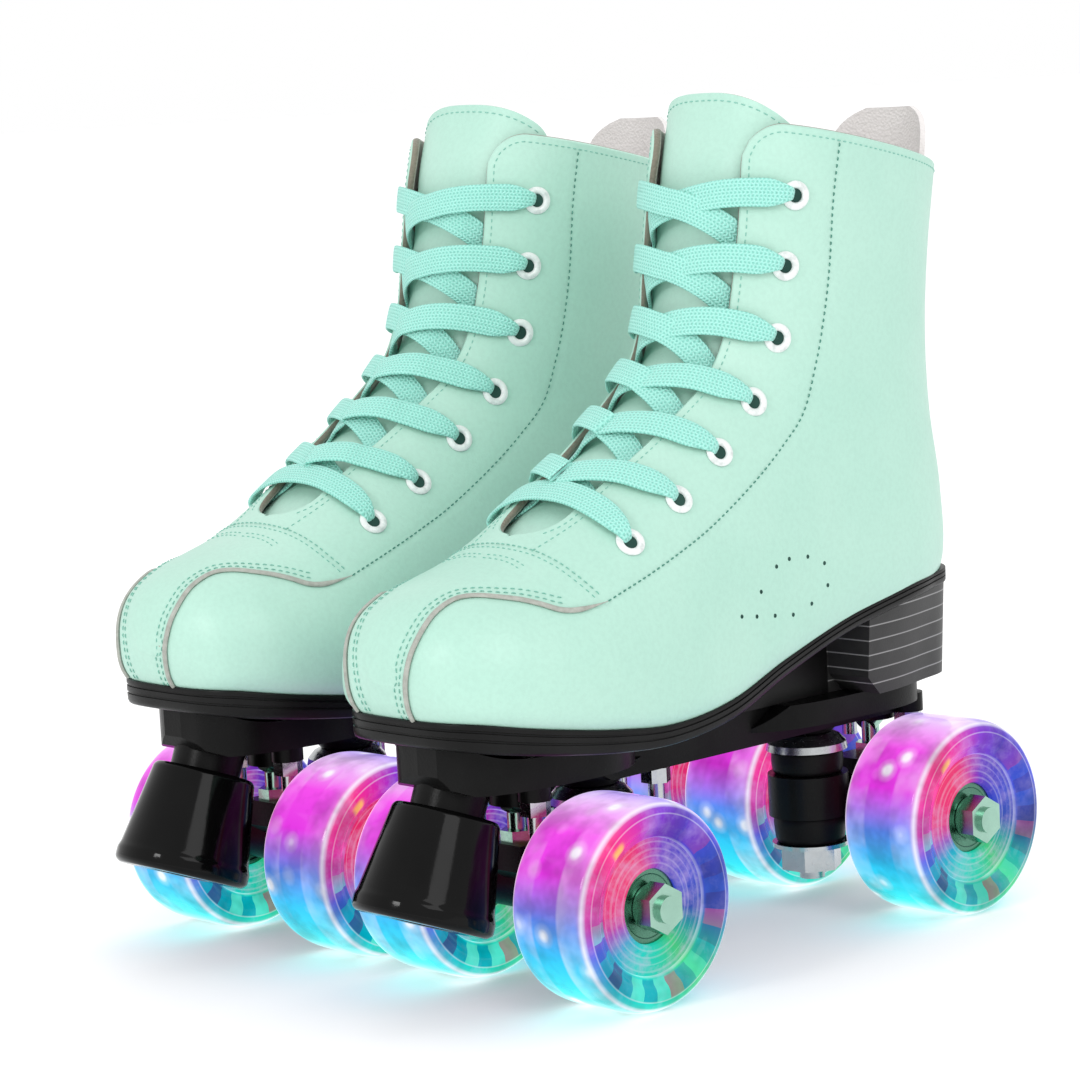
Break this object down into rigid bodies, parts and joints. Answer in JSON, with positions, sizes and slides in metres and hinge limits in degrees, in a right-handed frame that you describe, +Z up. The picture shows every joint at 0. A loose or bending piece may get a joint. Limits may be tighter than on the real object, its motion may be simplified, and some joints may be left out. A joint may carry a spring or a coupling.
{
  "type": "quad roller skates",
  "caption": "Pair of mint lace-up high boots on black plates with steering trucks, clear light-up wheels and toe stops.",
  "frame": {"origin": "middle of the pair on the floor: half way between the skates, half way along their length", "axes": "+Z up; toes point along -Y; +X towards the left skate"},
  "size_m": [0.2222, 0.2389, 0.2596],
  "materials": {
    "leather": "soft-grained mint synthetic leather, satin",
    "lining": "light grey brushed knit",
    "lace": "woven flat polyester braid",
    "eyelet": "white enamel",
    "sole": "moulded black rubber, satin",
    "heel": "stacked dark grey heel, satin",
    "plate": "black glass-filled nylon",
    "steel": "zinc plated steel",
    "bearing": "polished steel bearing",
    "cushion": "black urethane cushion",
    "stop": "glossy black rubber stop",
    "tyre": "clear urethane, glossy",
    "core": "clear hard plastic with coloured lights"
  },
  "bodies": {
    "left_skate": {"left_vamp": "leather", "left_quarter_outer": "leather", "left_quarter_inner": "leather", "left_tongue": "leather", "left_insole": "lining", "left_heel_tab": "lining", "left_eyelets": "eyelet", "left_laces": "lace", "left_sole": "sole", "left_heel_block": "heel", "left_plate": "plate", "left_mounting_bolts": "steel", "left_kingpins": "steel", "left_toe_stop": "stop", "left_front_cushions": "cushion", "left_rear_cushions": "cushion"},
    "left_front_truck": {"left_front_hanger": "plate", "left_front_truck_hardware": "steel", "left_front_bearings": "bearing"},
    "left_front_outer_wheel": {"left_front_outer_tyre": "tyre", "left_front_outer_wheel_core": "core"},
    "left_front_inner_wheel": {"left_front_inner_tyre": "tyre", "left_front_inner_wheel_core": "core"},
    "left_rear_truck": {"left_rear_hanger": "plate", "left_rear_truck_hardware": "steel", "left_rear_bearings": "bearing"},
    "left_rear_outer_wheel": {"left_rear_outer_tyre": "tyre", "left_rear_outer_wheel_core": "core"},
    "left_rear_inner_wheel": {"left_rear_inner_tyre": "tyre", "left_rear_inner_wheel_core": "core"},
    "right_skate": {"right_vamp": "leather", "right_quarter_outer": "leather", "right_quarter_inner": "leather", "right_tongue": "leather", "right_insole": "lining", "right_heel_tab": "lining", "right_eyelets": "eyelet", "right_laces": "lace", "right_sole": "sole", "right_heel_block": "heel", "right_plate": "plate", "right_mounting_bolts": "steel", "right_kingpins": "steel", "right_toe_stop": "stop", "right_front_cushions": "cushion", "right_rear_cushions": "cushion"},
    "right_front_truck": {"right_front_hanger": "plate", "right_front_truck_hardware": "steel", "right_front_bearings": "bearing"},
    "right_front_outer_wheel": {"right_front_outer_tyre": "tyre", "right_front_outer_wheel_core": "core"},
    "right_front_inner_wheel": {"right_front_inner_tyre": "tyre", "right_front_inner_wheel_core": "core"},
    "right_rear_truck": {"right_rear_hanger": "plate", "right_rear_truck_hardware": "steel", "right_rear_bearings": "bearing"},
    "right_rear_outer_wheel": {"right_rear_outer_tyre": "tyre", "right_rear_outer_wheel_core": "core"},
    "right_rear_inner_wheel": {"right_rear_inner_tyre": "tyre", "right_rear_inner_wheel_core": "core"}
  },
  "joints": [
    {"name": "left_front_truck_steer", "type": "hinge", "parent": "left_skate", "child": "left_front_truck", "pos_m": [0.0565, -0.0609, 0.0575], "axis": [0, 0.8431, -0.5377], "range_deg": [-6, 6], "stiffness_Nm_per_rad": 25, "deforming": ["left_front_cushions"]},
    {"name": "left_front_outer_wheel_spin", "type": "hinge", "parent": "left_front_truck", "child": "left_front_outer_wheel", "pos_m": [0.0915, -0.0537, 0.031], "axis": [1, 0, 0], "continuous": true},
    {"name": "left_front_inner_wheel_spin", "type": "hinge", "parent": "left_front_truck", "child": "left_front_inner_wheel", "pos_m": [0.0215, -0.0537, 0.031], "axis": [1, 0, 0], "continuous": true},
    {"name": "left_rear_truck_steer", "type": "hinge", "parent": "left_skate", "child": "left_rear_truck", "pos_m": [0.0565, 0.0951, 0.0575], "axis": [0, -0.8431, -0.5377], "range_deg": [-6, 6], "stiffness_Nm_per_rad": 25, "deforming": ["left_rear_cushions"]},
    {"name": "left_rear_outer_wheel_spin", "type": "hinge", "parent": "left_rear_truck", "child": "left_rear_outer_wheel", "pos_m": [0.0915, 0.0879, 0.031], "axis": [1, 0, 0], "continuous": true},
    {"name": "left_rear_inner_wheel_spin", "type": "hinge", "parent": "left_rear_truck", "child": "left_rear_inner_wheel", "pos_m": [0.0215, 0.0879, 0.031], "axis": [1, 0, 0], "continuous": true},
    {"name": "pair_slide", "type": "slide", "parent": "left_skate", "child": "right_skate", "axis": [0, 1, 0], "range_m": [-0.12, 0.12]},
    {"name": "right_front_truck_steer", "type": "hinge", "parent": "right_skate", "child": "right_front_truck", "pos_m": [-0.0565, -0.0609, 0.0575], "axis": [0, 0.8431, -0.5377], "range_deg": [-6, 6], "stiffness_Nm_per_rad": 25, "deforming": ["right_front_cushions"]},
    {"name": "right_front_outer_wheel_spin", "type": "hinge", "parent": "right_front_truck", "child": "right_front_outer_wheel", "pos_m": [-0.0915, -0.0537, 0.031], "axis": [1, 0, 0], "continuous": true},
    {"name": "right_front_inner_wheel_spin", "type": "hinge", "parent": "right_front_truck", "child": "right_front_inner_wheel", "pos_m": [-0.0215, -0.0537, 0.031], "axis": [1, 0, 0], "continuous": true},
    {"name": "right_rear_truck_steer", "type": "hinge", "parent": "right_skate", "child": "right_rear_truck", "pos_m": [-0.0565, 0.0951, 0.0575], "axis": [0, -0.8431, -0.5377], "range_deg": [-6, 6], "stiffness_Nm_per_rad": 25, "deforming": ["right_rear_cushions"]},
    {"name": "right_rear_outer_wheel_spin", "type": "hinge", "parent": "right_rear_truck", "child": "right_rear_outer_wheel", "pos_m": [-0.0915, 0.0879, 0.031], "axis": [1, 0, 0], "continuous": true},
    {"name": "right_rear_inner_wheel_spin", "type": "hinge", "parent": "right_rear_truck", "child": "right_rear_inner_wheel", "pos_m": [-0.0215, 0.0879, 0.031], "axis": [1, 0, 0], "continuous": true}
  ]
}
